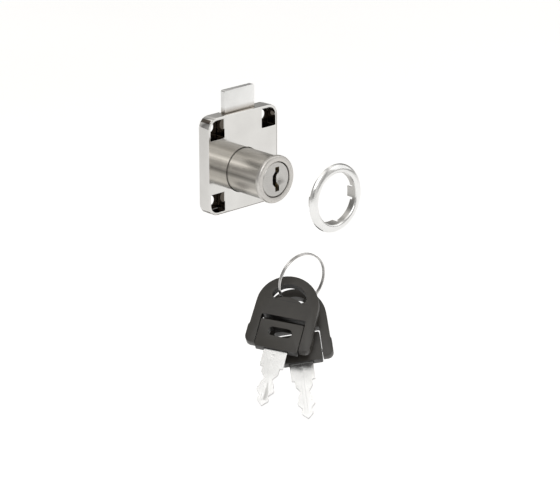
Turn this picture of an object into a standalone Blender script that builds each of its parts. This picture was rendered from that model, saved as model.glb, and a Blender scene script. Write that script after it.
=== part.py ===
"""Drawer rim lock with a rotating cylinder, its loose trim ring, and two folding keys on a split ring.

Metres, +Z up. The origin is on the cylinder's axis, in the face of the case that the panel bears on.
-Y points out of the panel towards the key, +Z is the way the bolt is shot.
"""
import math

import bmesh
import bpy
from mathutils import Matrix, Vector

MM = 0.001

# gaps
GAP = 0.30 * MM            # between neighbouring pieces
SLIDE_GAP = 0.20 * MM      # each side of a wafer in its slot

# case
CASE_W = 37.0 * MM
CASE_H = 40.0 * MM
CASE_T = 5.7 * MM
CASE_R = 4.5 * MM          # corner radius
BACKSET = 24.0 * MM        # cylinder axis to the case's top edge
FACE_T = 1.3 * MM          # front wall
RIM_T = 0.9 * MM           # wall around the edge
LEDGE = 0.15 * MM          # the walls below the cover's recess stand this far in
POCKET_W = 8.5 * MM        # corner pockets, from the case's outer edges
POCKET_H = 9.0 * MM
CASE_EDGE = 0.4 * MM       # rounding of the outer edges

# cover
COVER_T = 1.0 * MM
SCREW_HOLE_R = 2.1 * MM
SCREW_HEAD_R = 3.2 * MM    # countersink at the cover's back
RIVET_R = 0.9 * MM
RIVET_HEAD_R = 1.7 * MM
RIVET_X = 13.3 * MM
RIVET_SPREAD = 13.0 * MM   # between the upper and the lower rivets
BOSS_R = 2.2 * MM

# bolt
BOLT_W = 15.8 * MM
BOLT_T = 2.3 * MM
BOLT_SETBACK = 2.05 * MM   # bolt's front face behind the case's face
THROW = 9.3 * MM           # how far the shot bolt stands out of the case
BOLT_TAIL = 5.3 * MM       # bolt below the cylinder's axis when shot
BOLT_EDGE = 0.35 * MM

# cylinder
SLEEVE_R = 9.0 * MM
SLEEVE_L = 19.0 * MM       # from the case's face to the bezel
BEZEL_R = 9.7 * MM
BEZEL_T = 1.8 * MM
BEZEL_EDGE = 0.8 * MM
PLUG_R = 6.2 * MM
PLUG_HEAD_R = 7.0 * MM
PLUG_HEAD_T = 2.1 * MM
PLUG_SET_IN = 0.4 * MM     # plug's face behind the bezel's
GROOVE_W = 6.8 * MM        # locking grooves above and below the bore
GROOVE_D = 1.2 * MM
KEYWAY_H = 10.0 * MM
KEYWAY_W = 2.1 * MM
KEYWAY_SWING = 1.4 * MM    # how far its middle stands to the left
KEYWAY_OFF = 0.8 * MM      # the keyway's ends stand right of the axis, its middle left of it
KEYWAY_MID_H = 4.2 * MM
DISH_R = 2.7 * MM          # dished lead-in beside the keyway
DISH_D = 0.45 * MM

# crank
CAM_T = 1.9 * MM
CAM_R = 7.4 * MM
PIN_R = 1.3 * MM
TANG_W = 5.4 * MM
TANG_L = 0.9 * MM
CAM_SCREW_R = 1.1 * MM
CAM_SCREW_HEAD_R = 2.1 * MM
CAM_SCREW_L = 3.8 * MM

# wafers
WAFER_COUNT = 6
WAFER_W = 6.0 * MM
WAFER_H = 10.4 * MM
WAFER_T = 0.7 * MM
WAFER_PITCH = 2.1 * MM
WAFER_TRAVEL = 1.0 * MM
WINDOW_W = 3.9 * MM
WINDOW_H = 7.2 * MM
WINDOW_STEP = 0.4 * MM     # one cut depth of the key
EAR_W = 1.3 * MM
EAR_H = 1.1 * MM
EAR_Z = 0.9 * MM
SPRING_R = 0.5 * MM
SPRING_WIRE_R = 0.11 * MM
SPRING_L = 3.2 * MM
SPRING_TURNS = 5

# trim ring
RING_R = 13.6 * MM
RING_BORE_R = 10.2 * MM
RING_DOME = 1.2 * MM
RING_LIP = 1.0 * MM        # bore's edge in front of the outer rim
RING_SHEET = 0.5 * MM
RING_COLLAR = 1.4 * MM      # collar's short lips, behind the rim
RING_NOTCH = 0.4 * MM
PRONG_L = 3.3 * MM
PRONG_W = 4.0 * MM
PRONG_GAP = 0.9 * MM
RING_AWAY = 51.4 * MM      # where the ring is shown, in front of the case

# keys
HEAD_T = 4.2 * MM
HEAD_W = 26.4 * MM         # across the ears
HEAD_H = 30.3 * MM
HEAD_TOP_R = 12.5 * MM
HEAD_STEP = 0.45 * MM      # how far the ears stand out
HEAD_STEP_Z = 7.4 * MM
EAR_ROUND = 2.4 * MM
HEAD_EDGE = 0.5 * MM
EYE_W = 14.0 * MM          # crescent hole for the ring
EYE_TOP = 26.9 * MM
EYE_RISE = 4.9 * MM        # rise of its upper arc
EYE_SAG = 1.6 * MM         # rise of its lower arc
EYE_H = 5.6 * MM           # height in the middle
EYE_END = 1.6 * MM         # width of its blunt ends
EYE_BLUNT = 1.4 * MM       # their height
EYE_TAPER = 0.3 * MM
OPENING_W = 18.0 * MM      # window for the block
OPENING_H = 12.7 * MM
OPENING_ROUND = 0.8 * MM
BLOCK_H = 10.6 * MM
BLOCK_DROP = 1.1 * MM      # block's lip below the ears
BLOCK_T = 4.0 * MM
BLOCK_EDGE = 0.35 * MM
SLOT_W = 9.5 * MM          # pill slot through the block
SLOT_H = 3.7 * MM
SLOT_Z = 6.1 * MM
HINGE_Z = 3.0 * MM
HINGE_R = 0.6 * MM
BLADE_T = 1.5 * MM
BLADE_ROOT = 1.0 * MM      # blade's top above the ears' lower end
SHOULDER_W = 9.5 * MM
SHOULDER_L = 7.4 * MM
SHAFT_W = 6.8 * MM
BLADE_L = 23.6 * MM        # from the block's lip to the tip
GROOVE_IN_BLADE = 0.4 * MM

# split ring and the way the keys hang on it
SPLIT_R = 11.0 * MM
SPLIT_WIRE_R = 0.38 * MM
SPLIT_TURNS = 2
SPLIT_AT = Vector((7.30, -25.79, -41.77)) * MM
SPLIT_UP = Vector((0.551, -0.133, 0.824))       # towards its uppermost point
SPLIT_SIDE = Vector((0.828, -0.035, -0.559))
KEY_FACING = math.radians(-52.0)                # heading and tilt of the keys' faces
KEY_TILT = math.radians(43.0)

# per key: angle around the split ring, lean, and the point of the head that the wire passes
KEY_HANGS = {
    "key_1": {"around": math.radians(214.0), "lean": math.radians(8.5), "eye": (-4.07 * MM, 22.5 * MM)},
    "key_2": {"around": math.radians(161.0), "lean": math.radians(-12.5), "eye": (0.2 * MM, 23.9 * MM)},
}

# worked out from the above
COVER_Y = CASE_T - COVER_T
HALF_W = CASE_W / 2
CASE_BOTTOM = BACKSET - CASE_H
CASE_MID = (BACKSET + CASE_BOTTOM) / 2
CHANNEL = BOLT_W / 2 + GAP
CRANK_R = THROW / 2
BORE_R = PLUG_R + GAP
HEAD_BORE_R = PLUG_HEAD_R + GAP
CAM_BACK = FACE_T - GAP
CAM_FRONT = CAM_BACK - CAM_T
PLUG_FACE = PLUG_SET_IN - SLEEVE_L
PLUG_SHOULDER = PLUG_FACE + PLUG_HEAD_T
PLUG_TAIL = CAM_FRONT - GAP
FIRST_WAFER = PLUG_SHOULDER + 1.3 * MM
KEYWAY_END = FIRST_WAFER + WAFER_PITCH * (WAFER_COUNT - 1) + WAFER_T
BOLT_TOP = BACKSET + THROW
PIN_END = COVER_Y - GAP

COLORS = {
    "polished_nickel": ((0.80, 0.79, 0.76), 0.10, 1.0),
    "brushed_nickel": ((0.66, 0.64, 0.60), 0.32, 1.0),
    "zinc": ((0.55, 0.55, 0.54), 0.45, 1.0),
    "steel": ((0.60, 0.60, 0.60), 0.35, 1.0),
    "brass": ((0.78, 0.62, 0.32), 0.35, 1.0),
    "black_plastic": ((0.055, 0.052, 0.048), 0.45, 0.0),
}


def clear_scene():
    for thing in list(bpy.data.objects):
        bpy.data.objects.remove(thing, do_unlink=True)


def new_collection(name):
    group = bpy.data.collections.new(name)
    bpy.context.scene.collection.children.link(group)
    return group


clear_scene()
PARTS = new_collection("drawer_rim_lock")
CUTTERS = new_collection("cutters")


def material(kind):
    """One Principled material for each finish, made once."""
    found = bpy.data.materials.get(kind)
    if found:
        return found
    color, roughness, metallic = COLORS[kind]
    made = bpy.data.materials.new(kind)
    made.use_nodes = True
    shader = made.node_tree.nodes["Principled BSDF"]
    shader.inputs["Base Color"].default_value = (*color, 1.0)
    shader.inputs["Roughness"].default_value = roughness
    shader.inputs["Metallic"].default_value = metallic
    return made


def add(name, mesh, group=None):
    thing = bpy.data.objects.new(name, mesh)
    (group or CUTTERS).objects.link(thing)
    thing.display_type = "WIRE"
    thing.hide_render = True
    return thing


def finish(thing, name, kind, parent=None):
    """Make a shape one of the object's parts."""
    thing.name = name
    thing.data.name = name
    CUTTERS.objects.unlink(thing)
    PARTS.objects.link(thing)
    thing.display_type = "TEXTURED"
    thing.hide_render = False
    thing.data.materials.append(material(kind))
    if thing.type == "MESH":
        thing.data.shade_smooth()
        thing.data.set_sharp_from_angle(angle=math.radians(35.0))
    if parent:
        thing.parent = parent
    return thing


def mesh_from(bm, name):
    bmesh.ops.recalc_face_normals(bm, faces=bm.faces)
    mesh = bpy.data.meshes.new(name)
    bm.to_mesh(mesh)
    bm.free()
    return mesh


def block(low, high, turn=None):
    """A box between two corners, turned about the origin if asked."""
    low, high = Vector(low), Vector(high)
    bm = bmesh.new()
    bmesh.ops.create_cube(bm, size=1.0)
    bmesh.ops.scale(bm, vec=high - low, verts=bm.verts)
    bmesh.ops.translate(bm, vec=(low + high) / 2, verts=bm.verts)
    if turn:
        bmesh.ops.transform(bm, matrix=turn, verts=bm.verts)
    return add("block", mesh_from(bm, "block"))


def rod(start, end, radius, end_radius=None, sides=20):
    """A cylinder or a cone between two points."""
    start, end = Vector(start), Vector(end)
    along = end - start
    bm = bmesh.new()
    last = radius if end_radius is None else end_radius
    bmesh.ops.create_cone(bm, cap_ends=True, segments=sides, radius1=radius, radius2=last,
                          depth=along.length)
    turn = Vector((0, 0, 1)).rotation_difference(along).to_matrix().to_4x4()
    bmesh.ops.transform(bm, matrix=Matrix.Translation((start + end) / 2) @ turn, verts=bm.verts)
    return add("rod", mesh_from(bm, "rod"))


def arc(x, z, radius, start, end, steps=5):
    """Points on an arc in the XZ plane, angles in degrees."""
    turns = [math.radians(start + (end - start) * i / steps) for i in range(steps + 1)]
    return [(x + radius * math.cos(a), z + radius * math.sin(a)) for a in turns]


def rounded(x0, x1, z0, z1, radius):
    """Outline of a rectangle with round corners."""
    return (arc(x1 - radius, z1 - radius, radius, 0, 90) + arc(x0 + radius, z1 - radius, radius, 90, 180)
            + arc(x0 + radius, z0 + radius, radius, 180, 270)
            + arc(x1 - radius, z0 + radius, radius, 270, 360))


def plate(outline, y0, y1):
    """A flat outline in the XZ plane, given its thickness from y0 to y1. The curve is drawn in
    millimetres, because a curve's fill merges points that lie closer than about 0.03 mm."""
    curve = bpy.data.curves.new("outline", "CURVE")
    curve.dimensions = "2D"
    curve.fill_mode = "BOTH"
    curve.extrude = (y1 - y0) / 2 / MM
    line = curve.splines.new("POLY")
    line.points.add(len(outline) - 1)
    for point, (x, z) in zip(line.points, outline):
        point.co = (x / MM, z / MM, 0, 1)
    line.use_cyclic_u = True
    holder = add("outline", curve)
    mesh = bpy.data.meshes.new_from_object(holder.evaluated_get(bpy.context.evaluated_depsgraph_get()))
    bpy.data.objects.remove(holder, do_unlink=True)
    bm = bmesh.new()
    bm.from_mesh(mesh)
    bmesh.ops.remove_doubles(bm, verts=bm.verts, dist=0.001)
    bmesh.ops.scale(bm, vec=(MM, MM, MM), verts=bm.verts)
    bmesh.ops.rotate(bm, matrix=Matrix.Rotation(math.radians(90.0), 3, "X"), verts=bm.verts)
    bmesh.ops.translate(bm, vec=(0, (y0 + y1) / 2, 0), verts=bm.verts)
    return add("plate", mesh_from(bm, "plate"))


def turned(profile, sides=44):
    """A turned shape about the cylinder's axis. The profile's points are (radius, y), run from the
    front over the outer side to the back, and close over the bore if the shape has one."""
    mesh = bpy.data.meshes.new("turned")
    count = len(profile)
    closed = profile[0][0] > 0
    edges = [(i, (i + 1) % count) for i in range(count if closed else count - 1)]
    mesh.from_pydata([(radius, 0, -y) for radius, y in profile], edges, [])
    holder = add("turned", mesh)
    screw = holder.modifiers.new("turn", "SCREW")
    screw.axis = "Z"
    screw.steps = sides
    screw.render_steps = sides
    screw.use_merge_vertices = True
    screw.merge_threshold = 0.001 * MM
    graph = bpy.context.evaluated_depsgraph_get()
    solid = bpy.data.meshes.new_from_object(holder.evaluated_get(graph))
    bpy.data.objects.remove(holder, do_unlink=True)
    solid.transform(Matrix.Rotation(math.radians(90.0), 4, "X"))
    return add("turned", solid)


def soften(thing, width, segments=2):
    """Round the edges of a plain shape, before anything is cut from it."""
    bevel = thing.modifiers.new("soften", "BEVEL")
    bevel.width = width
    bevel.segments = segments
    bevel.limit_method = "ANGLE"
    bevel.angle_limit = math.radians(50.0)
    return thing


def carve(thing, *cutters, how="DIFFERENCE"):
    for cutter in cutters:
        step = thing.modifiers.new(how.lower(), "BOOLEAN")
        step.operation = how
        step.solver = "EXACT"
        step.object = cutter
    return thing


def join(thing, *others):
    return carve(thing, *others, how="UNION")


def pivot(name, at, turn=None, parent=None):
    """An empty on a joint's axis."""
    empty = bpy.data.objects.new(name, None)
    PARTS.objects.link(empty)
    empty.empty_display_size = 3 * MM
    empty.matrix_world = Matrix.Translation(at) @ (turn or Matrix.Identity(4))
    if parent:
        empty.parent = parent
    return empty


def corners():
    """Middle of each corner pocket, as signs and (x, z)."""
    x = HALF_W - (POCKET_W + RIM_T) / 2
    top = BACKSET - (POCKET_H + RIM_T) / 2
    bottom = CASE_BOTTOM + (POCKET_H + RIM_T) / 2
    return [(sx, sz, sx * x, top if sz > 0 else bottom) for sz in (1, -1) for sx in (-1, 1)]


def rivet_places():
    return [(sx * RIVET_X, CASE_MID + sz * RIVET_SPREAD / 2) for sz in (1, -1) for sx in (-1, 1)]


def lock_case():
    """Die-cast case: front wall, rim, four corner pockets, and a chamber open at the back."""
    shell = plate(rounded(-HALF_W, HALF_W, CASE_BOTTOM, BACKSET, CASE_R), 0, CASE_T)
    soften(shell, CASE_EDGE)
    beyond = 1 * MM
    inner_r = CASE_R - RIM_T
    cover_room = plate(rounded(RIM_T - HALF_W, HALF_W - RIM_T, CASE_BOTTOM + RIM_T, BACKSET - RIM_T, inner_r),
                       COVER_Y - GAP, CASE_T + beyond)
    rim = RIM_T + LEDGE
    side = HALF_W - rim
    wall = 1.0 * MM
    channel = block((-CHANNEL, FACE_T, CASE_BOTTOM + rim), (CHANNEL, COVER_Y, BACKSET - rim))
    bay = block((-side, FACE_T, CASE_BOTTOM + POCKET_H + wall), (side, COVER_Y, BACKSET - POCKET_H - wall))
    mouth_x = CHANNEL - LEDGE
    mouth = block((-mouth_x, BOLT_SETBACK - GAP, BACKSET - rim - beyond), (mouth_x, CASE_T + beyond, BACKSET + beyond))
    sleeve_hole = rod((0, -beyond, 0), (0, FACE_T + beyond, 0), SLEEVE_R + GAP, sides=44)
    carve(shell, cover_room, channel, bay, mouth, sleeve_hole)
    for sx, sz, x, z in corners():
        half_x = (POCKET_W - RIM_T) / 2
        half_z = (POCKET_H - RIM_T) / 2
        pocket = plate(rounded(x - half_x, x + half_x, z - half_z, z + half_z, 0.5 * MM), -beyond, COVER_Y)
        corner = plate(rounded(rim - HALF_W, HALF_W - rim, CASE_BOTTOM + rim, BACKSET - rim, CASE_R - rim),
                       -2 * beyond, CASE_T + beyond)
        carve(pocket, corner, how="INTERSECT")
        carve(shell, pocket)
    for x, z in rivet_places():
        join(shell, rod((x, FACE_T - 0.5 * MM, z), (x, COVER_Y - GAP, z), BOSS_R, sides=24))
        carve(shell, rod((x, FACE_T + 0.4 * MM, z), (x, COVER_Y, z), RIVET_R + GAP, sides=24))
    finish(shell, "lock_case", "polished_nickel")


def back_cover():
    """Steel cover let into the case's rim, with a tab that closes the bolt's mouth."""
    inset = RIM_T + GAP
    cover = plate(rounded(inset - HALF_W, HALF_W - inset, CASE_BOTTOM + inset, BACKSET - inset, CASE_R - inset),
                  COVER_Y, CASE_T)
    tab = block((-BOLT_W / 2, COVER_Y, BACKSET - 3 * inset), (BOLT_W / 2, CASE_T, BACKSET - CASE_EDGE))
    join(cover, tab)
    beyond = 0.2 * MM
    for _, _, x, z in corners():
        carve(cover, rod((x, COVER_Y - beyond, z), (x, CASE_T + beyond, z), SCREW_HOLE_R))
        carve(cover, rod((x, COVER_Y + 0.1 * MM, z), (x, CASE_T + beyond, z), SCREW_HOLE_R - 0.1 * MM,
                         SCREW_HEAD_R))
    for x, z in rivet_places():
        carve(cover, rod((x, COVER_Y - beyond, z), (x, CASE_T + beyond, z), RIVET_R + GAP, sides=24))
        carve(cover, rod((x, COVER_Y + 0.2 * MM, z), (x, CASE_T + beyond, z), RIVET_R + GAP,
                         RIVET_HEAD_R + GAP + beyond, sides=24))
    finish(cover, "back_cover", "steel")


def cover_rivets():
    """Flush rivets from the cover into the case's bosses."""
    for i, (x, z) in enumerate(rivet_places(), 1):
        shank = rod((x, FACE_T + 0.8 * MM, z), (x, CASE_T - 0.1 * MM, z), RIVET_R, sides=20)
        head = rod((x, COVER_Y + 0.3 * MM, z), (x, CASE_T, z), RIVET_R * 0.98, RIVET_HEAD_R, sides=20)
        finish(join(shank, head), f"cover_rivet_{i}", "steel")


def cylinder_housing():
    """Sleeve with its bezel, the plug's stepped bore, and two locking grooves."""
    front = -SLEEVE_L
    neck = front + BEZEL_T
    cam_room = CAM_R + GAP
    cam_end = CAM_FRONT - GAP / 2
    e = BEZEL_EDGE
    profile = [(HEAD_BORE_R, front + 0.25 * MM), (HEAD_BORE_R + 0.25 * MM, front), (BEZEL_R - e, front),
               (BEZEL_R - 0.3 * e, front + 0.3 * e), (BEZEL_R, front + e), (BEZEL_R, neck - 0.2 * MM),
               (BEZEL_R - 0.2 * MM, neck), (SLEEVE_R, neck), (SLEEVE_R, FACE_T), (cam_room, FACE_T),
               (cam_room, cam_end), (BORE_R, cam_end), (BORE_R, PLUG_SHOULDER + GAP),
               (HEAD_BORE_R, PLUG_SHOULDER + GAP)]
    sleeve = turned(profile)
    reach = BORE_R + GROOVE_D
    for sign in (1, -1):
        z0, z1 = sorted((sign * (BORE_R - 1.5 * MM), sign * reach))
        carve(sleeve, block((-GROOVE_W / 2, FIRST_WAFER - WAFER_T, z0), (GROOVE_W / 2, cam_end + 0.2 * MM, z1)))
    finish(sleeve, "cylinder_housing", "brushed_nickel")


def keyway_outline():
    """Zigzag: the ends stand to the right, the middle to the left."""
    h, m = KEYWAY_H / 2, KEYWAY_MID_H / 2
    right = KEYWAY_OFF + KEYWAY_W / 2
    left = KEYWAY_OFF - KEYWAY_W / 2
    swing = KEYWAY_SWING
    step = (h - m) * 0.35
    half = [(right, h), (right, m + step), (right - swing * 0.8, m - step)]
    back = [(left - swing, m - step * 0.4), (left, m + step * 1.2), (left, h)]
    return half + [(x, -z) for x, z in reversed(half)] + [(x, -z) for x, z in reversed(back)] + back


def wafer_y(i):
    return FIRST_WAFER + i * WAFER_PITCH


def plug(parent):
    """Plug with its keyway, a slot and a spring hole for each wafer, and a square tang for the crank."""
    profile = [(0, PLUG_FACE), (PLUG_HEAD_R - 0.2 * MM, PLUG_FACE), (PLUG_HEAD_R, PLUG_FACE + 0.2 * MM),
               (PLUG_HEAD_R, PLUG_SHOULDER), (PLUG_R, PLUG_SHOULDER), (PLUG_R, PLUG_TAIL), (0, PLUG_TAIL)]
    body = turned(profile)
    t = TANG_W / 2
    join(body, block((-t, PLUG_TAIL - 0.5 * MM, -t), (t, CAM_FRONT + TANG_L - GAP, t)))
    carve(body, plate(keyway_outline(), PLUG_FACE - 1 * MM, KEYWAY_END))
    dish = rod((KEYWAY_OFF, PLUG_FACE - DISH_D, 0), (KEYWAY_OFF, PLUG_FACE + DISH_D, 0),
               DISH_R * 1.2, DISH_R * 0.72)
    carve(body, dish)
    ear_x = WAFER_W / 2 + EAR_W + SLIDE_GAP
    spring_x = WAFER_W / 2 + EAR_W / 2
    for i in range(WAFER_COUNT):
        y = wafer_y(i)
        thick = WAFER_T / 2 + SLIDE_GAP
        wide = WAFER_W / 2 + SLIDE_GAP
        carve(body, block((-wide, y - thick, -PLUG_HEAD_R), (wide, y + thick, PLUG_HEAD_R)))
        top = EAR_Z + EAR_H + WAFER_TRAVEL + SLIDE_GAP
        carve(body, block((0, y - thick, EAR_Z - GAP), (ear_x, y + thick, top)))
        carve(body, rod((spring_x, y, EAR_Z - 2 * GAP - SPRING_L), (spring_x, y, EAR_Z),
                        SPRING_R + SPRING_WIRE_R + 0.15 * MM, sides=12))
    shank = CAM_SCREW_R + GAP
    carve(body, rod((0, CAM_BACK - CAM_SCREW_L - GAP, 0), (0, CAM_BACK, 0), shank, sides=20))
    finish(body, "plug", "brushed_nickel", parent)


def wafers(parent):
    """One wafer and one spring for each slot. The window's height above the middle follows the cuts."""
    ear_x = WAFER_W / 2 + EAR_W
    for i in range(WAFER_COUNT):
        y = wafer_y(i)
        y0, y1 = y - WAFER_T / 2, y + WAFER_T / 2
        body = block((-WAFER_W / 2, y0, -WAFER_H / 2), (WAFER_W / 2, y1, WAFER_H / 2))
        join(body, block((WAFER_W / 2 - 0.5 * MM, y0, EAR_Z), (ear_x, y1, EAR_Z + EAR_H)))
        shift = ((2 * i) % 3 - 1) * WINDOW_STEP
        low, high = shift - WINDOW_H / 2, shift + WINDOW_H / 2
        carve(body, block((-WINDOW_W / 2, y0 - GAP, low), (WINDOW_W / 2, y1 + GAP, high)))
        finish(body, f"wafer_{i + 1}", "brass", parent)
        finish(wafer_spring(y), f"wafer_spring_{i + 1}", "steel", parent)


def tube(points, radius, resolution=2):
    """A round wire along a list of points."""
    curve = bpy.data.curves.new("wire", "CURVE")
    curve.dimensions = "3D"
    curve.bevel_depth = radius
    curve.bevel_resolution = resolution
    curve.use_fill_caps = True
    line = curve.splines.new("POLY")
    line.points.add(len(points) - 1)
    for point, place in zip(line.points, points):
        point.co = (*place, 1)
    return add("wire", curve)


def wafer_spring(y):
    x = WAFER_W / 2 + EAR_W / 2
    top = EAR_Z - GAP - SPRING_WIRE_R
    steps = 6
    total = SPRING_TURNS * steps
    drop = SPRING_L - 2 * SPRING_WIRE_R
    points = []
    for i in range(total + 1):
        angle = 2 * math.pi * i / steps
        points.append((x + SPRING_R * math.cos(angle), y + SPRING_R * math.sin(angle), top - drop * i / total))
    return tube(points, SPRING_WIRE_R, resolution=0)


def drive_cam(parent):
    """Crank disc at the plug's end. Its pin works in the bolt's slot."""
    disc = rod((0, CAM_FRONT, 0), (0, CAM_BACK, 0), CAM_R, sides=44)
    join(disc, rod((0, CAM_BACK - 0.5 * MM, CRANK_R), (0, PIN_END, CRANK_R), PIN_R, sides=24))
    t = TANG_W / 2 + GAP
    carve(disc, block((-t, CAM_FRONT - GAP, -t), (t, CAM_FRONT + TANG_L, t)))
    shank = CAM_SCREW_R + GAP
    carve(disc, rod((0, CAM_FRONT, 0), (0, CAM_BACK + GAP, 0), shank, sides=20))
    cone = CAM_SCREW_HEAD_R - CAM_SCREW_R
    carve(disc, rod((0, CAM_BACK - cone, 0), (0, CAM_BACK + GAP, 0), shank - 0.01 * MM,
                    CAM_SCREW_HEAD_R + 2 * GAP, sides=20))
    finish(disc, "drive_cam", "steel", parent)


def cam_screw(parent):
    """Countersunk screw that holds the crank on the plug."""
    cone = CAM_SCREW_HEAD_R - CAM_SCREW_R
    tip = CAM_BACK - CAM_SCREW_L
    profile = [(0, tip), (CAM_SCREW_R - 0.2 * MM, tip), (CAM_SCREW_R, tip + 0.2 * MM),
               (CAM_SCREW_R, CAM_BACK - cone), (CAM_SCREW_HEAD_R, CAM_BACK), (0, CAM_BACK)]
    screw = turned(profile, sides=20)
    slot = 0.25 * MM
    past = CAM_SCREW_HEAD_R * 1.2
    carve(screw, block((-past, CAM_BACK - 2 * slot, -slot), (past, CAM_BACK + slot, slot)))
    finish(screw, "cam_screw", "steel", parent)


def crank_lag():
    """Largest difference between the crank's true rise and a steady one over its half turn."""
    turn = math.asin(2 / math.pi)
    return CRANK_R * (math.cos(turn) - 1 + 2 * turn / math.pi)


def bolt(parent):
    """Flat bolt with a cross slot for the crank's pin."""
    w = BOLT_W / 2
    body = plate(rounded(-w, w, -BOLT_TAIL, BOLT_TOP, 0.6 * MM), BOLT_SETBACK, BOLT_SETBACK + BOLT_T)
    soften(body, BOLT_EDGE)
    half_x = CRANK_R + PIN_R + GAP
    half_z = PIN_R + GAP + crank_lag()
    carve(body, plate(rounded(-half_x, half_x, CRANK_R - half_z, CRANK_R + half_z, 1.2 * MM),
                      BOLT_SETBACK - GAP, BOLT_SETBACK + BOLT_T + GAP))
    finish(body, "bolt", "polished_nickel", parent)


def dome_profile(y0):
    """Rolled sheet section: over the dome from the bore to the rim, back inside it, and the collar."""
    mid = (RING_R + RING_BORE_R) / 2
    half = (RING_R - RING_BORE_R) / 2
    sheet = RING_SHEET
    turns = [math.pi * i / 8 for i in range(9)]
    lip = RING_LIP / 2
    low = RING_DOME - sheet
    outer = [(mid - half * math.cos(a), y0 - lip * (1 + math.cos(a)) - RING_DOME * math.sin(a)) for a in turns]
    inner = [(mid + (half - sheet) * math.cos(a), y0 - lip * (1 - math.cos(a)) - low * math.sin(a)) for a in turns]
    return outer + inner + [(RING_BORE_R + sheet, y0 + PRONG_L), (RING_BORE_R, y0 + PRONG_L)]


def trim_ring(parent):
    """Press-in ring: a domed flange, and a collar cut into four long prongs and four short lips."""
    y0 = -RING_AWAY
    ring = turned(dome_profile(y0))
    lip = 2 * RING_BORE_R * math.sin(math.pi / 4 - (PRONG_W / 2 + PRONG_GAP) / RING_BORE_R)
    near, far = RING_BORE_R * 0.7, RING_BORE_R * 1.2
    notch = PRONG_W / 2 + PRONG_GAP / 2
    for quarter in range(4):
        turn = Matrix.Rotation(math.radians(90 * quarter), 4, "Y")
        half_turn = Matrix.Rotation(math.radians(90 * quarter + 45), 4, "Y")
        low, end = y0 + RING_COLLAR, y0 + PRONG_L + 1 * MM
        wide = lip / 2 + PRONG_GAP * 0.8
        carve(ring, block((near, low, -wide), (far, end, wide), half_turn))
        for side in (-1, 1):
            z = side * notch
            carve(ring, block((near, y0 + RING_NOTCH, z - PRONG_GAP / 2), (far, end, z + PRONG_GAP / 2), turn))
    finish(ring, "trim_ring", "polished_nickel", parent)


def split_ring():
    """Two close turns of spring wire."""
    axis = SPLIT_UP.cross(SPLIT_SIDE).normalized()
    up = SPLIT_UP.normalized()
    side = axis.cross(up)
    steps = 36
    total = SPLIT_TURNS * steps
    pitch = 2 * SPLIT_WIRE_R + 0.05 * MM
    points = []
    for i in range(total + 1):
        a = 2 * math.pi * i / steps
        shift = pitch * (i / steps - SPLIT_TURNS / 2)
        points.append(SPLIT_AT + SPLIT_R * (math.cos(a) * up + math.sin(a) * side) + shift * axis)
    finish(tube(points, SPLIT_WIRE_R, resolution=1), "split_ring", "polished_nickel")


def key_turn(lean):
    """Turn of a key: its width along X, its height along Z, its face towards -Y, then leaned and faced."""
    heading = Matrix.Rotation(KEY_FACING, 4, "Z")
    tilt = Matrix.Rotation(-KEY_TILT, 4, "X")
    return heading @ tilt @ Matrix.Rotation(lean, 4, "Y")


def head_outline():
    w = HEAD_W / 2
    upper = w - HEAD_STEP
    mid = HEAD_H - HEAD_TOP_R
    r = EAR_ROUND
    side = [(w, r), (w, HEAD_STEP_Z - HEAD_STEP), (upper, HEAD_STEP_Z + HEAD_STEP)]
    right = arc(w - r, r, r, -90, 0, 6) + side[1:]
    top = arc(0, mid, HEAD_TOP_R, 4, 176, 24)
    left = [(-x, z) for x, z in reversed(right)]
    return right + top + left


def eye_outline():
    """Crescent between two arcs that rise towards the top, with blunt ends."""
    half = EYE_W / 2
    rise = EYE_RISE
    r_up = (half ** 2 + rise ** 2) / (2 * rise)
    span = math.degrees(math.asin(half / r_up))
    upper = arc(0, EYE_TOP - r_up, r_up, 90 - span, 90 + span, 14)
    low_half = half - EYE_END
    r_low = (low_half ** 2 + EYE_SAG ** 2) / (2 * EYE_SAG)
    low_span = math.degrees(math.asin(low_half / r_low))
    lower = arc(0, EYE_TOP - EYE_H - r_low, r_low, 90 + low_span, 90 - low_span, 10)
    blunt_z = EYE_TOP - rise - EYE_BLUNT
    blunt_x = half - EYE_TAPER
    return upper + [(-blunt_x, blunt_z)] + lower + [(blunt_x, blunt_z)]


def key_head(name, parent, shift):
    """Moulded head with the ring's eye, the block's window, and a cross hole through the ears."""
    back = HEAD_T / 2
    head = plate(head_outline(), -back, back)
    soften(head, HEAD_EDGE)
    beyond = 1 * MM
    eye = plate(eye_outline(), -back - beyond, back + beyond)
    half = OPENING_W / 2
    window = plate(rounded(-half, half, -2 * OPENING_H, OPENING_H, OPENING_ROUND), -back - beyond, back + beyond)
    hole = rod((-HEAD_W, 0, HINGE_Z), (HEAD_W, 0, HINGE_Z), HINGE_R + GAP, sides=16)
    carve(head, eye, window, hole)
    place(head, name + "_head", "black_plastic", parent, shift)
    reach = HEAD_W / 2 - 0.4 * MM
    pin = rod((-reach, 0, HINGE_Z), (reach, 0, HINGE_Z), HINGE_R, sides=16)
    place(pin, name + "_hinge_pin", "steel", parent, shift)


def place(thing, name, kind, parent, shift):
    """Set a shape of the key in its parent's frame."""
    for part in [thing] + [m.object for m in thing.modifiers if m.type == "BOOLEAN"]:
        part.data.transform(Matrix.Translation(shift))
        part.parent = parent
    finish(thing, name, kind)


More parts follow.
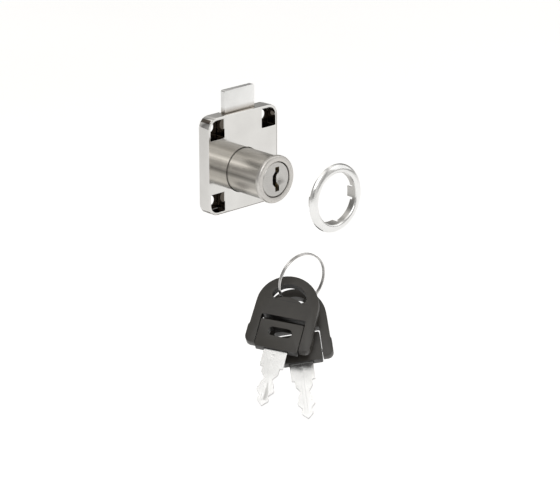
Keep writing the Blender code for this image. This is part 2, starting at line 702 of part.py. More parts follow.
def key_block(name, parent, shift):
    """Block that turns in the head's window and holds the blade's root."""
    half = OPENING_W / 2 - GAP
    back = BLOCK_T / 2
    body = plate(rounded(-half, half, -BLOCK_DROP, BLOCK_H, 0.6 * MM), -back, back)
    soften(body, BLOCK_EDGE)
    beyond = 1 * MM
    slot = plate(rounded(-SLOT_W / 2, SLOT_W / 2, SLOT_Z - SLOT_H / 2, SLOT_Z + SLOT_H / 2, SLOT_H / 2 * 0.98),
                 -back - beyond, back + beyond)
    hole = rod((-HEAD_W, 0, HINGE_Z), (HEAD_W, 0, HINGE_Z), HINGE_R + GAP, sides=16)
    w = SHOULDER_W / 2 + GAP
    t = BLADE_T / 2 + GAP
    socket = block((-w, -t, -BLOCK_DROP - beyond), (w, t, BLADE_ROOT + GAP))
    carve(body, slot, hole, socket)
    place(body, name + "_block", "black_plastic", parent, shift)


def blade_outline():
    """Half of the blade as (half width, distance below the block's lip), mirrored."""
    w, s = SHAFT_W / 2, SHOULDER_W / 2
    end, first = SHOULDER_L, SHOULDER_L + 2.4 * MM
    rest = BLADE_L - first
    cuts = [(w, 0), (w * 0.51, 0.16), (w * 0.51, 0.19), (w * 0.70, 0.25), (w * 0.86, 0.34), (w * 0.86, 0.42),
            (w * 1.03, 0.49), (w * 1.03, 0.55), (w * 0.54, 0.68), (w * 0.54, 0.71), (w * 0.70, 0.78),
            (w * 0.68, 0.84)]
    half = [(s, -BLADE_ROOT - BLOCK_DROP), (s, end - 0.25 * MM), (w, end)]
    half += [(x, first + share * rest) for x, share in cuts]
    points = [(x, -BLOCK_DROP - z) for x, z in half]
    return points + [(0, -BLOCK_DROP - BLADE_L)] + [(-x, z) for x, z in reversed(points)]


def key_blade(name, parent, shift):
    """Double-sided blade with a groove along each face."""
    t = BLADE_T / 2
    blade = plate(blade_outline(), -t, t)
    low = -BLOCK_DROP - BLADE_L + 2.7 * MM
    high = -BLOCK_DROP - 2.0 * MM
    wide = 0.6 * MM
    carve(blade, block((-wide - 0.4 * MM, -t - 1 * MM, low), (wide - 0.4 * MM, -t + GROOVE_IN_BLADE, high)))
    carve(blade, block((-wide + 0.7 * MM, t - GROOVE_IN_BLADE, low), (wide + 0.7 * MM, t + 1 * MM, high)))
    place(blade, name + "_blade", "polished_nickel", parent, shift)


def key(name, hang):
    """One folding key. It swings where the wire passes its eye, and its block turns on the hinge pin."""
    axis = SPLIT_UP.cross(SPLIT_SIDE).normalized()
    up = SPLIT_UP.normalized()
    side = axis.cross(up)
    at = SPLIT_AT + SPLIT_R * (math.cos(hang["around"]) * up + math.sin(hang["around"]) * side)
    turn = key_turn(hang["lean"])
    x, z = hang["eye"]
    eye = Vector((x, 0, z))
    swing = pivot(name + "_swing", at, turn)
    hinge_at = Vector((0, 0, HINGE_Z)) - eye
    fold = pivot(name + "_fold", at + turn @ hinge_at, turn)
    bpy.context.view_layer.update()
    world = fold.matrix_world.copy()
    fold.parent = swing
    fold.matrix_parent_inverse = swing.matrix_world.inverted()
    fold.matrix_world = world
    key_head(name, swing, -eye)
    key_block(name, fold, Vector((0, 0, -HINGE_Z)))
    key_blade(name, fold, Vector((0, 0, -HINGE_Z)))


def build():
    lock_case()
    back_cover()
    cover_rivets()
    cylinder_housing()
    plug_turn = pivot("plug_turn", Vector((0, 0, 0)))
    plug(plug_turn)
    wafers(plug_turn)
    drive_cam(plug_turn)
    cam_screw(plug_turn)
    bolt(pivot("bolt_slide", Vector((0, 0, 0))))
    trim_ring(pivot("ring_slide", Vector((0, 0, 0))))
    split_ring()
    for name, hang in KEY_HANGS.items():
        key(name, hang)


build()
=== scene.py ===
import math

import bmesh
import bpy
import numpy as np
from mathutils import Matrix, Vector


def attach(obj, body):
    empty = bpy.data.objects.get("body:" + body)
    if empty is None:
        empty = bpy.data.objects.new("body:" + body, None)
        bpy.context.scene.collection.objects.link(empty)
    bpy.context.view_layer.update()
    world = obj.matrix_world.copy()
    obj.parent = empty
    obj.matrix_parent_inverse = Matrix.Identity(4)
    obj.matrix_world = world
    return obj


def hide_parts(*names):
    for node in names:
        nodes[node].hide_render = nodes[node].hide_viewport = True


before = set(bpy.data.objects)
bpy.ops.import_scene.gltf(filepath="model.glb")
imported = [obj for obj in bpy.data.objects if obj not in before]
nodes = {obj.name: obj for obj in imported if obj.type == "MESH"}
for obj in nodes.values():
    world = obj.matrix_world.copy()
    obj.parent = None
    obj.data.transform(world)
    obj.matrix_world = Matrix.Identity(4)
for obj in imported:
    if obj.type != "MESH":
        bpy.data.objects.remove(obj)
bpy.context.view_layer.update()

mm = 0.001


def newMaterial(name):
    material = bpy.data.materials.new(name)
    material.use_nodes = True
    tree = material.node_tree
    return material, tree, tree.nodes["Principled BSDF"]


def objectCoords(tree):
    return tree.nodes.new("ShaderNodeTexCoord").outputs["Object"]


def splitCoords(tree, coords):
    split = tree.nodes.new("ShaderNodeSeparateXYZ")
    tree.links.new(coords, split.inputs["Vector"])
    return split.outputs


def noise(tree, coords, scale, stretch=(1, 1, 1), detail=4.0):
    mapping = tree.nodes.new("ShaderNodeMapping")
    mapping.inputs["Scale"].default_value = stretch
    tree.links.new(coords, mapping.inputs["Vector"])
    texture = tree.nodes.new("ShaderNodeTexNoise")
    texture.inputs["Scale"].default_value = scale
    texture.inputs["Detail"].default_value = detail
    tree.links.new(mapping.outputs["Vector"], texture.inputs["Vector"])
    return texture.outputs["Fac"]


def toneRamp(tree, share, stops):
    # stops are (position, colour), and the tones between them are blended
    ramp = tree.nodes.new("ShaderNodeValToRGB")
    elements = ramp.color_ramp.elements
    while len(elements) < len(stops):
        elements.new(0.5)
    for element, (position, colour) in zip(elements, stops):
        element.position = position
        element.color = (*colour, 1)
    tree.links.new(share, ramp.inputs["Fac"])
    return ramp


noiseSpan = (0.3, 0.7)  # most of a noise texture's values lie in here


def mottled(tree, share, low, high):
    return toneRamp(tree, share, list(zip(noiseSpan, (low, high)))).outputs["Color"]


def spread(tree, share, low, high):
    node = tree.nodes.new("ShaderNodeMapRange")
    limits = dict(zip(("From Min", "From Max", "To Min", "To Max"), (*noiseSpan, low, high)))
    for socket, value in limits.items():
        node.inputs[socket].default_value = value
    tree.links.new(share, node.inputs["Value"])
    return node.outputs["Result"]


def bump(tree, shader, height, strength, distance):
    node = tree.nodes.new("ShaderNodeBump")
    node.inputs["Strength"].default_value = strength
    node.inputs["Distance"].default_value = distance
    tree.links.new(height, node.inputs["Height"])
    tree.links.new(node.outputs["Normal"], shader.inputs["Normal"])


def reckon(tree, operation, a, b):
    # one step of arithmetic; a and b are sockets or plain numbers
    node = tree.nodes.new("ShaderNodeMath")
    node.operation = operation
    for socket, value in zip(node.inputs, (a, b)):
        if isinstance(value, (int, float)):
            socket.default_value = value
        else:
            tree.links.new(value, socket)
    return node.outputs[0]


def allOf(tree, *shares):
    product = shares[0]
    for share in shares[1:]:
        product = reckon(tree, "MULTIPLY", product, share)
    return product


def mixOver(tree, shader, share, colour, blend="MIX"):
    # lay a colour over the base colour that is there, by a share from 0 to 1
    base = shader.inputs["Base Color"]
    mix = tree.nodes.new("ShaderNodeMix")
    mix.data_type = "RGBA"
    mix.blend_type = blend
    tree.links.new(base.links[0].from_socket, mix.inputs["A"])
    for socket, value in ((mix.inputs["Factor"], share), (mix.inputs["B"], colour)):
        if isinstance(value, (float, tuple)):
            socket.default_value = value
        else:
            tree.links.new(value, socket)
    tree.links.new(mix.outputs["Result"], base)


metalLooks = {
    "polished": {"low": (0.70, 0.69, 0.67), "high": (0.77, 0.76, 0.74), "rough": (0.07, 0.13),
                 "cloud": 90, "grain": 2500, "bump": 0.04},
    "bright": {"low": (0.86, 0.86, 0.85), "high": (0.93, 0.93, 0.92), "rough": (0.14, 0.24),
               "cloud": 160, "grain": 3000, "bump": 0.08},
    "barrel": {"low": (0.60, 0.58, 0.55), "high": (0.72, 0.70, 0.67), "rough": (0.34, 0.44),
               "cloud": 1400, "grain": 4200, "bump": 0.18, "stretch": (1, 0.004, 1)},
    "satin": {"low": (0.52, 0.51, 0.49), "high": (0.60, 0.59, 0.57), "rough": (0.24, 0.33),
              "cloud": 120, "grain": 3500, "bump": 0.12},
    "blade": {"low": (0.62, 0.62, 0.615), "high": (0.72, 0.72, 0.715), "rough": (0.14, 0.24),
              "cloud": 160, "grain": 3000, "bump": 0.08},
    "wire": {"low": (0.55, 0.54, 0.53), "high": (0.68, 0.67, 0.66), "rough": (0.12, 0.22),
             "cloud": 200, "grain": 2500, "bump": 0.05},
    "steel": {"low": (0.52, 0.52, 0.52), "high": (0.66, 0.66, 0.66), "rough": (0.25, 0.4),
              "cloud": 150, "grain": 3000, "bump": 0.1},
    "brass": {"low": (0.30, 0.22, 0.10), "high": (0.40, 0.31, 0.15), "rough": (0.22, 0.36),
              "cloud": 150, "grain": 3000, "bump": 0.1},
}
metalGrain = {"detail": 2.0, "depth": 0.02 * mm}


def metal(name, look):
    # a slow mottle in the tone, and a fine grain in the roughness and the relief
    v = metalLooks[look]
    stretch = v.get("stretch", (1, 1, 1))
    material, tree, shader = newMaterial(name)
    coords = objectCoords(tree)
    cloud = noise(tree, coords, v["cloud"], stretch)
    grain = noise(tree, coords, v["grain"], stretch, metalGrain["detail"])
    shader.inputs["Metallic"].default_value = 1.0
    tree.links.new(mottled(tree, cloud, v["low"], v["high"]), shader.inputs["Base Color"])
    tree.links.new(spread(tree, grain, *v["rough"]), shader.inputs["Roughness"])
    bump(tree, shader, grain, v["bump"], metalGrain["depth"])
    return material


# painted reflections: the tones of the bands painted along the barrel, standing in for the studio's reflections on it
barrelReflectionBands = {"tones": [(0.0, 0.62), (0.16, 0.95), (0.24, 0.60), (0.32, 1.0), (0.42, 1.1), (0.48, 0.42),
                         (0.55, 0.85), (0.68, 1.1), (0.76, 0.60), (0.84, 0.28), (0.92, 0.55), (1.0, 0.45)],
               "tint": (0.95, 0.93575, 0.90725), "from": 95, "to": 262, "bezel": -17.25 * mm}


def barrelReflectionMetal(v):
    # painted reflections: soft bands of light and shade painted along the barrel, by the angle around its axis, and
    # none on the bezel in front
    material = metal("barrelReflectionMetal", "barrel")
    tree = material.node_tree
    at = splitCoords(tree, objectCoords(tree))
    around = reckon(tree, "ADD", reckon(tree, "ARCTAN2", at["Z"], at["X"]), 2 * math.pi)
    angle = reckon(tree, "MODULO", around, 2 * math.pi)
    low, high = math.radians(v["from"]), math.radians(v["to"])
    share = reckon(tree, "DIVIDE", reckon(tree, "SUBTRACT", angle, low), high - low)
    stops = [(position, tuple(tone * part for part in v["tint"])) for position, tone in v["tones"]]
    bands = toneRamp(tree, share, stops)
    bands.color_ramp.interpolation = "EASE"
    behindBezel = reckon(tree, "GREATER_THAN", at["Y"], v["bezel"])
    mixOver(tree, tree.nodes["Principled BSDF"], behindBezel, bands.outputs["Color"], "MULTIPLY")
    return material


# the dark tone is painted shade inside the pockets and a painted dark reflection along the face's rounding
caseShadeLook = {"halfWide": 17.7 * mm, "low": -15.2 * mm, "high": 23.2 * mm, "front": 0.5 * mm,
            "back": 5.6 * mm, "shadeTone": (0.11, 0.095, 0.08), "lineX": 18.08 * mm, "lineZ": -15.6 * mm, "lineY": 0.45 * mm,
            "lineShare": 0.75}


def casePaintedShadeMetal(v):
    # polished outside, with painted shade darkening the pockets, and a thin painted dark reflection line on the face's
    # right and lower rounding
    material = metal("casePaintedShadeMetal", "polished")
    tree = material.node_tree
    shader = tree.nodes["Principled BSDF"]
    at = splitCoords(tree, objectCoords(tree))
    # painted shade: the inside of the pockets is darkened in the colour
    inside = allOf(tree,
                   reckon(tree, "LESS_THAN", reckon(tree, "ABSOLUTE", at["X"], 0), v["halfWide"]),
                   reckon(tree, "GREATER_THAN", at["Y"], v["front"]),
                   reckon(tree, "LESS_THAN", at["Y"], v["back"]),
                   reckon(tree, "GREATER_THAN", at["Z"], v["low"]),
                   reckon(tree, "LESS_THAN", at["Z"], v["high"]))
    mixOver(tree, shader, inside, (*v["shadeTone"], 1))
    # painted reflection: a thin dark line on the face's right and lower rounding
    edge = reckon(tree, "MAXIMUM", reckon(tree, "GREATER_THAN", at["X"], v["lineX"]),
                  reckon(tree, "LESS_THAN", at["Z"], v["lineZ"]))
    line = allOf(tree, edge, reckon(tree, "LESS_THAN", at["Y"], v["lineY"]), v["lineShare"])
    mixOver(tree, shader, line, (*v["shadeTone"], 1))
    return material


# painted reflection: the bolt's foot is darkened in its colour where it leaves the case's mouth
boltReflectionLook = {"foot": 24.0 * mm, "fade": 2.6 * mm, "low": (0.42, 0.37, 0.32)}


def boltReflectionMetal(v):
    # brighter than the case, with a painted dark reflection where it leaves the case's mouth
    material = metal("boltReflectionMetal", "bright")
    tree = material.node_tree
    at = splitCoords(tree, objectCoords(tree))
    share = reckon(tree, "DIVIDE", reckon(tree, "SUBTRACT", at["Z"], v["foot"]), v["fade"])
    tone = toneRamp(tree, share, [(0.0, v["low"]), (1.0, (1, 1, 1))])
    mixOver(tree, tree.nodes["Principled BSDF"], 1.0, tone.outputs["Color"], "MULTIPLY")
    return material


plasticLook = {"cloud": 140, "grain": 5200, "detail": 2.0, "rough": (0.34, 0.46), "specular": 0.45,
               "bump": 0.25, "depth": 0.03 * mm}
plasticTones = {"charcoal": ((0.031, 0.028, 0.024), (0.042, 0.038, 0.032)),
                "shaded": ((0.010, 0.009, 0.008), (0.016, 0.015, 0.013)),
                "line": ((0.018, 0.017, 0.016), (0.024, 0.022, 0.020))}


def plastic(name, v):
    material, tree, shader = newMaterial(name)
    coords = objectCoords(tree)
    cloud = noise(tree, coords, v["cloud"])
    grain = noise(tree, coords, v["grain"], detail=v["detail"])
    tree.links.new(mottled(tree, cloud, *plasticTones[name]), shader.inputs["Base Color"])
    tree.links.new(spread(tree, grain, *v["rough"]), shader.inputs["Roughness"])
    shader.inputs["Specular IOR Level"].default_value = v["specular"]
    bump(tree, shader, grain, v["bump"], v["depth"])
    return material


caseShadedPlate = casePaintedShadeMetal(caseShadeLook)
boltReflectionPlate = boltReflectionMetal(boltReflectionLook)
barrelReflectionPlate = barrelReflectionMetal(barrelReflectionBands)
ringPlate = metal("ringMetal", "bright")
satin = metal("satinMetal", "satin")
bladePlate = metal("bladeMetal", "blade")
wire = metal("wireMetal", "wire")
steel = metal("steelMetal", "steel")
brass = metal("brassMetal", "brass")
charcoal = plastic("charcoal", plasticLook)
shaded = plastic("shaded", plasticLook)
lineTone = plastic("line", plasticLook)
print("materials made")

mesher = {"joinNew": 1e-7, "joinCopy": 2e-6, "flat": 0.6, "smooth": 32, "wireSmooth": 60,
          "bevelFrom": 40, "bevelSteps": 2}


def shade(mesh, degrees):
    mesh.polygons.foreach_set("use_smooth", [True] * len(mesh.polygons))
    mesh.set_sharp_from_angle(angle=math.radians(degrees))
    mesh.update()


def show(name, bm, degrees):
    bmesh.ops.recalc_face_normals(bm, faces=bm.faces)
    mesh = bpy.data.meshes.new(name)
    bm.to_mesh(mesh)
    bm.free()
    shade(mesh, degrees)
    obj = bpy.data.objects.new(name, mesh)
    bpy.context.scene.collection.objects.link(obj)
    return obj


def fromGrid(name, points, faces, degrees=mesher["smooth"]):
    mesh = bpy.data.meshes.new(name + "_grid")
    mesh.from_pydata(points.tolist(), [], faces)
    mesh.validate()
    bm = bmesh.new()
    bm.from_mesh(mesh)
    bpy.data.meshes.remove(mesh)
    bmesh.ops.remove_doubles(bm, verts=bm.verts, dist=mesher["joinNew"])
    return show(name, bm, degrees)


def fromNode(node, name, edge):
    # a node's shape, with its loose triangles joined, each flat area made one face, and its edges broken
    bm = bmesh.new()
    bm.from_mesh(nodes[node].data)
    bmesh.ops.remove_doubles(bm, verts=bm.verts, dist=mesher["joinCopy"])
    bmesh.ops.dissolve_limit(bm, angle_limit=math.radians(mesher["flat"]), verts=bm.verts, edges=bm.edges)
    obj = show(name, bm, mesher["smooth"])
    bevel = obj.modifiers.new("edge", "BEVEL")
    bevel.width = edge
    bevel.segments = mesher["bevelSteps"]
    bevel.limit_method = "ANGLE"
    bevel.angle_limit = math.radians(mesher["bevelFrom"])
    bevel.harden_normals = True
    return obj


def gridFaces(rows, columns, closed=True):
    # one quad between each point and its next ones; the columns always close, the rows if closed
    i = np.arange(rows if closed else rows - 1)[:, None]
    j = np.arange(columns)[None, :]
    nextRow, nextColumn = (i + 1) % rows * columns, (j + 1) % columns
    corners = (i * columns + j, i * columns + nextColumn, nextRow + nextColumn, nextRow + j)
    return np.stack(np.broadcast_arrays(*corners), axis=-1).reshape(-1, 4).tolist()


def place(obj, material, body, slot, *replaced):
    obj.data.materials.clear()
    obj.data.materials.append(material)
    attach(obj, body)
    if replaced:
        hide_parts(*replaced)


def paintWhere(obj, material, chosen):
    # chosen takes the faces' normals and middles and says which of them get the second material
    polygons = obj.data.polygons
    normals, middles = np.empty(3 * len(polygons)), np.empty(3 * len(polygons))
    polygons.foreach_get("normal", normals)
    polygons.foreach_get("center", middles)
    obj.data.materials.append(material)
    second = chosen(normals.reshape(-1, 3), middles.reshape(-1, 3))
    polygons.foreach_set("material_index", second.astype(np.int32))


edges = {"case": 0.10 * mm, "cover": 0.05 * mm, "bolt": 0.08 * mm, "plug": 0.05 * mm, "plastic": 0.14 * mm,
         "blade": 0.08 * mm}

# case, cover and bolt
place(fromNode("lock_case", "caseShell", edges["case"]), caseShadedPlate, "lock", "polished_nickel", "lock_case")
place(fromNode("back_cover", "coverPlate", edges["cover"]), caseShadedPlate, "lock", "steel", "back_cover")
place(fromNode("bolt", "boltBar", edges["bolt"]), boltReflectionPlate, "bolt", "polished_nickel", "bolt")
print("case done")

barrel = {"radius": 9.0 * mm, "length": 19.0 * mm, "bezelR": 9.7 * mm, "bezelT": 1.8 * mm, "edge": 0.8 * mm,
          "chamfer": 0.25 * mm, "chamferMid": (0.08 * mm, 0.07 * mm), "neckEdge": 0.2 * mm,
          "neckMid": 0.06 * mm, "root": 0.03 * mm, "headBore": 7.3 * mm, "bore": 7.65 * mm, "step": 2.8 * mm, "foot": 1.3 * mm,
          "camRoom": 7.7 * mm, "camEnd": 0.65 * mm, "arcSteps": 10, "around": 192}


def barrelProfile(v):
    # (radius, y) from the bore's mouth over the bezel and along the barrel, and back through the bore
    front = -v["length"]
    neck = front + v["bezelT"]
    r, e = v["bezelR"], v["edge"]
    midR, midY = v["chamferMid"]
    turn = np.radians(np.linspace(-90, 0, v["arcSteps"] + 1))
    mouth = [(v["headBore"], front + v["chamfer"]), (v["headBore"] + midR, front + midY),
             (v["headBore"] + v["chamfer"], front)]
    rounding = np.stack([r - e + e * np.cos(turn), front + e + e * np.sin(turn)], axis=1)
    outside = [(r, neck - v["neckEdge"]), (r - v["neckMid"], neck - v["neckMid"]), (r - v["neckEdge"], neck),
               (v["radius"] + v["root"], neck), (v["radius"], neck + v["root"]), (v["radius"], v["foot"])]
    inside = [(v["camRoom"], v["foot"]), (v["camRoom"], v["camEnd"]), (v["bore"], v["camEnd"]),
              (v["bore"], front + v["step"]), (v["headBore"], front + v["step"])]
    return np.vstack([mouth, rounding, outside, inside])


def lathe(name, profile, around):
    # each profile point goes once around the Y axis: x = r cos t, z = r sin t; the last row meets the first
    t = np.linspace(0, 2 * math.pi, around, endpoint=False)
    radius, along = profile[:, :1], profile[:, 1:]
    grid = np.stack([radius * np.cos(t), along + 0 * t, radius * np.sin(t)], axis=-1)
    return fromGrid(name, grid.reshape(-1, 3), gridFaces(len(profile), around))


place(lathe("sleeveBarrel", barrelProfile(barrel), barrel["around"]), barrelReflectionPlate, "lock", "brushed_nickel",
      "cylinder_housing")
place(fromNode("plug", "plugCore", edges["plug"]), satin, "plug", "brushed_nickel", "plug")
print("cylinder done")

ring = {"outer": 13.6 * mm, "bore": 10.2 * mm, "dome": 1.2 * mm, "lip": 1.0 * mm, "sheet": 0.5 * mm,
        "collar": 1.4 * mm, "prong": 3.3 * mm, "prongW": 4.0 * mm, "gap": 0.9 * mm, "notch": 0.4 * mm,
        "away": 51.4 * mm, "cut": 0.004, "domeSteps": 17, "shadeFrom": 0.6 * mm}


def collarEnds(v):
    # angle and length of the collar: long prongs at the four quarters, a notch beside each, short lips between
    half = v["prongW"] / 2 / v["bore"]
    wide = (v["prongW"] / 2 + v["gap"]) / v["bore"]
    cut, quarter = v["cut"], math.pi / 2
    spans = [(-half, half, 9, v["prong"]), (half + cut, wide - cut, 4, v["notch"]),
             (wide, quarter - wide, 19, v["collar"]),
             (quarter - wide + cut, quarter - half - cut, 4, v["notch"])]
    angles = np.concatenate([np.linspace(start, end, count) for start, end, count, _ in spans])
    lengths = np.concatenate([np.full(count, length) for _, _, count, length in spans])
    turns = np.arange(4)[:, None] * quarter
    return (turns + angles).ravel(), np.tile(lengths, 4)


def ringShell(v):
    # a sheet section domed from the bore's lip to the rim and back inside, carried around the Y axis; the
    # collar's end moves along Y with the angle
    y0 = -v["away"]
    mid, half = (v["outer"] + v["bore"]) / 2, (v["outer"] - v["bore"]) / 2
    lip, low = v["lip"] / 2, v["dome"] - v["sheet"]
    a = np.linspace(0, math.pi, v["domeSteps"])
    outer = np.stack([mid - half * np.cos(a), y0 - lip * (1 + np.cos(a)) - v["dome"] * np.sin(a)], axis=1)
    inner = np.stack([mid + (half - v["sheet"]) * np.cos(a),
                      y0 - lip * (1 - np.cos(a)) - low * np.sin(a)], axis=1)
    ends = [(v["bore"] + v["sheet"], y0), (v["bore"], y0)]
    profile = np.vstack([outer, inner, ends])
    angles, lengths = collarEnds(v)
    along = np.tile(profile[:, 1], (len(angles), 1))
    along[:, -len(ends):] += lengths[:, None]
    radius, t = profile[:, 0], angles[:, None]
    grid = np.stack([radius * np.cos(t), along, radius * np.sin(t)], axis=-1)
    return fromGrid("ringShell", grid.reshape(-1, 3), gridFaces(len(angles), len(profile)))


def shadedBore(normals, middles):
    # painted shade: the bore's wall, the collar and the prongs take the darker satin metal
    radius = np.hypot(middles[:, 0], middles[:, 2])
    behind = middles[:, 1] > ring["shadeFrom"] - ring["away"] - ring["lip"]
    return (radius < ring["bore"] + ring["sheet"]) & behind


shell = ringShell(ring)
place(shell, ringPlate, "trim_ring", "polished_nickel", "trim_ring")
# painted shade on the ring's bore wall, collar and prongs
paintWhere(shell, satin, shadedBore)

coil = {"at": np.array((7.30, -25.79, -41.77)) * mm, "up": (0.551, -0.133, 0.824),
        "side": (0.828, -0.035, -0.559), "radius": 10.95 * mm, "wire": 0.355 * mm,
        "gap": 0.05 * mm, "turns": 2, "steps": 180, "around": 12}


def coilAxes(v):
    axis = np.cross(v["up"], v["side"])
    axis = axis / np.linalg.norm(axis)
    up = np.array(v["up"]) / np.linalg.norm(v["up"])
    return axis, up, np.cross(axis, up)


def coilWire(v):
    # the wire's middle runs on a circle with a slow rise; each section is a small circle square to it
    axis, up, side = coilAxes(v)
    steps, around = v["steps"] * v["turns"], v["around"]
    pitch = 2 * v["wire"] + v["gap"]
    turn = np.linspace(0, v["turns"], steps + 1)[:, None]
    out = np.cos(2 * math.pi * turn) * up + np.sin(2 * math.pi * turn) * side
    middle = v["at"] + v["radius"] * out + pitch * (turn - v["turns"] / 2) * axis
    b = np.linspace(0, 2 * math.pi, around, endpoint=False)[None, :, None]
    grid = middle[:, None] + v["wire"] * (np.cos(b) * out[:, None] + np.sin(b) * axis)
    caps = [tuple(reversed(range(around))), tuple(range(steps * around, (steps + 1) * around))]
    faces = caps + gridFaces(steps + 1, around, closed=False)
    return fromGrid("coilWire", grid.reshape(-1, 3), faces, mesher["wireSmooth"])


place(coilWire(coil), wire, "lock", "polished_nickel", "split_ring")
print("rings done")

keys = {"key_1": {"around": 214, "lean": 8.5, "eye": (-4.07, 22.5)},
        "key_2": {"around": 161, "lean": -12.5, "eye": (0.2, 23.9)}}
keyTurn = {"facing": -52, "tilt": -43}
moulding = {"low": 19.35 * mm, "high": 19.60 * mm, "half": 8.4 * mm, "thick": 2.115 * mm}
shadeLimits = {"edgeOn": 0.5, "reach": 9.4 * mm, "head": 27.6 * mm, "block": 12 * mm}


def keyFrame(v):
    # a key's own axes: the wire passes its eye at an angle on the ring, then it is leaned, tilted and faced
    axis, up, side = coilAxes(coil)
    a = math.radians(v["around"])
    at = coil["at"] + coil["radius"] * (math.cos(a) * up + math.sin(a) * side)
    heading = Matrix.Rotation(math.radians(keyTurn["facing"]), 4, "Z")
    tilt = Matrix.Rotation(math.radians(keyTurn["tilt"]), 4, "X")
    lean = Matrix.Rotation(math.radians(v["lean"]), 4, "Y")
    eye = Vector((v["eye"][0], 0, v["eye"][1])) * mm
    return Matrix.Translation(at) @ heading @ tilt @ lean @ Matrix.Translation(-eye)


def mouldedLine(name, v, turn):
    # a thin bar through the head, whose ends stand a hair out of both faces
    spans = ((-v["half"], v["half"]), (-v["thick"], v["thick"]), (v["low"], v["high"]))
    corners = np.array(np.meshgrid(*spans, indexing="ij")).reshape(3, -1).T
    faces = [(0, 1, 3, 2), (4, 6, 7, 5), (0, 4, 5, 1), (2, 3, 7, 6), (0, 2, 6, 4), (1, 5, 7, 3)]
    move = np.array(turn)
    return fromGrid(name, corners @ move[:3, :3].T + move[:3, 3], faces)


def shadeWalls(obj, turn, top):
    # the walls of the eye, the window and the slot lie in shade: faces edge-on to the key, inside its outline
    back = np.array(turn.inverted())

    def walls(normals, middles):
        normals = normals @ back[:3, :3].T
        middles = middles @ back[:3, :3].T + back[:3, 3]
        inside = (np.abs(middles[:, 0]) < shadeLimits["reach"]) & (middles[:, 2] < top)
        return inside & (np.abs(normals[:, 1]) < shadeLimits["edgeOn"])

    paintWhere(obj, shaded, walls)


for name, hang in keys.items():
    turn = keyFrame(hang)
    head, leaf = name + "_head", name + "_blade"  # the two bodies of a key
    cap = fromNode(name + "_head", name + "_cap", edges["plastic"])
    place(cap, charcoal, head, "black_plastic", name + "_head")
    shadeWalls(cap, turn, shadeLimits["head"])
    place(mouldedLine(name + "_line", moulding, turn), lineTone, head, "black_plastic")
    tumbler = fromNode(name + "_block", name + "_tumbler", edges["plastic"])
    place(tumbler, charcoal, leaf, "black_plastic", name + "_block")
    shadeWalls(tumbler, turn, shadeLimits["block"])
    place(fromNode(name + "_blade", name + "_shaft", edges["blade"]), bladePlate, leaf, "brushed_nickel",
          name + "_blade")
print("keys done")

# pieces that stay as they are and only get their finish
plainSteel = ["drive_cam", "cam_screw", "key_1_hinge_pin", "key_2_hinge_pin"]
plainSteel += [node for node in nodes if node.startswith(("cover_rivet_", "wafer_spring_"))]
for node, obj in nodes.items():
    if node in plainSteel or node.startswith("wafer_"):
        obj.data.materials.clear()
        obj.data.materials.append(steel if node in plainSteel else brass)

floor = {"height": -0.125, "size": 6.0, "low": (0.86, 0.86, 0.86), "high": (0.90, 0.90, 0.90), "cloud": 3,
         "rough": 0.9, "lift": 0.42, "glossyLift": 0.22}


def layFloor(v):
    h, z = v["size"] / 2, v["height"]
    corners = np.array([(-h, -h, z), (h, -h, z), (h, h, z), (-h, h, z)])
    obj = fromGrid("floor", corners, [(0, 1, 2, 3)])
    material, tree, shader = newMaterial("floorPaint")
    cloud = noise(tree, objectCoords(tree), v["cloud"])
    tree.links.new(mottled(tree, cloud, v["low"], v["high"]), shader.inputs["Base Color"])
    shader.inputs["Roughness"].default_value = v["rough"]
    shader.inputs["Emission Color"].default_value = (1, 1, 1, 1)
    path = tree.nodes.new("ShaderNodeLightPath").outputs
    seen = reckon(tree, "MULTIPLY", path["Is Camera Ray"], v["lift"])
    bent = reckon(tree, "MAXIMUM", path["Is Glossy Ray"], path["Is Transmission Ray"])
    lift = reckon(tree, "MAXIMUM", seen, reckon(tree, "MULTIPLY", bent, v["glossyLift"]))
    tree.links.new(lift, shader.inputs["Emission Strength"])
    obj.data.materials.append(material)


layFloor(floor)

studio = {"bands": [(0.0, 0.75), (0.20, 0.28), (0.32, 1.0), (0.50, 0.95), (0.60, 0.38), (0.70, 1.0),
                    (0.93, 0.25), (1.0, 0.7)],
          "tint": (1, 0.985, 0.96), "strength": 0.62, "zenith": 1.1, "rise": (0.55, 0.9)}


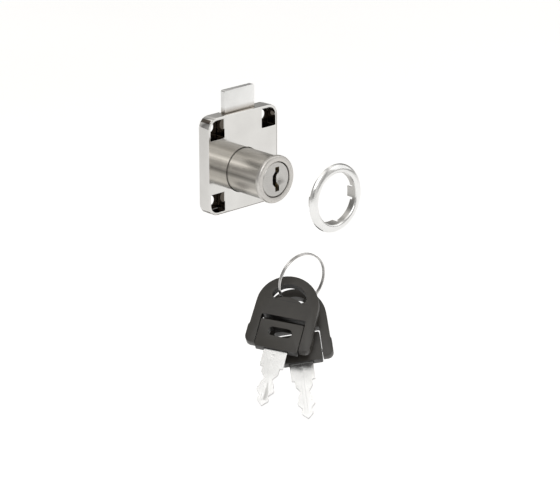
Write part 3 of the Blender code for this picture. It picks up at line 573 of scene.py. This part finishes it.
def lightStudio(v):
    # soft upright bands of light and shade from left to right, and a brighter patch overhead
    world = bpy.data.worlds.new("studio")
    bpy.context.scene.world = world
    world.use_nodes = True
    tree = world.node_tree
    at = splitCoords(tree, tree.nodes.new("ShaderNodeTexCoord").outputs["Generated"])
    along = reckon(tree, "MULTIPLY", reckon(tree, "ADD", at["X"], 1.0), 0.5)
    stops = [(position, tuple(tone * part for part in v["tint"])) for position, tone in v["bands"]]
    overhead = tree.nodes.new("ShaderNodeMapRange")
    overhead.interpolation_type = "SMOOTHSTEP"
    limits = dict(zip(("From Min", "From Max", "To Min", "To Max"), (*v["rise"], v["strength"], v["zenith"])))
    for socket, value in limits.items():
        overhead.inputs[socket].default_value = value
    tree.links.new(at["Z"], overhead.inputs["Value"])
    back = tree.nodes["Background"]
    tree.links.new(toneRamp(tree, along, stops).outputs["Color"], back.inputs["Color"])
    tree.links.new(overhead.outputs["Result"], back.inputs["Strength"])


lamps = {"key": {"at": (-0.45, -0.45, 0.55), "size": 0.5, "power": 1.8},
         "fill": {"at": (0.55, -0.35, 0.35), "size": 0.6, "power": 0.9}}
lampTarget = Vector((0, -20, -20)) * mm


def hangLamp(name, v):
    lamp = bpy.data.lights.new(name, "AREA")
    lamp.size = v["size"]
    lamp.energy = v["power"]
    obj = bpy.data.objects.new(name, lamp)
    obj.location = v["at"]
    obj.rotation_euler = (lampTarget - Vector(v["at"])).to_track_quat("-Z", "Y").to_euler()
    bpy.context.scene.collection.objects.link(obj)


lightStudio(studio)
for name, lamp in lamps.items():
    hangLamp(name, lamp)

shot = {"azimuth": -43.6, "elevation": 19.0, "distance": 992 * mm, "lens": 160.7, "sensor": 36, "near": 0.01,
        "target": Vector((0, 0, 4)) * mm, "right": 14.5 * mm, "up": -36.6 * mm}


def aimCamera(v):
    az, el = math.radians(v["azimuth"]), math.radians(v["elevation"])
    back = Vector((math.sin(az) * math.cos(el), -math.cos(az) * math.cos(el), math.sin(el)))
    right = Vector((math.cos(az), math.sin(az), 0))
    up = back.cross(right)
    camera = bpy.data.cameras.new("camera")
    camera.lens = v["lens"]
    camera.sensor_width = v["sensor"]
    camera.clip_start = v["near"]
    obj = bpy.data.objects.new("camera", camera)
    at = v["target"] + v["right"] * right + v["up"] * up + v["distance"] * back
    obj.matrix_world = Matrix.Translation(at) @ Matrix((right, up, back)).transposed().to_4x4()
    bpy.context.scene.collection.objects.link(obj)
    bpy.context.scene.camera = obj


aimCamera(shot)
bpy.context.scene.view_settings.view_transform = "Standard"
print("stage set")
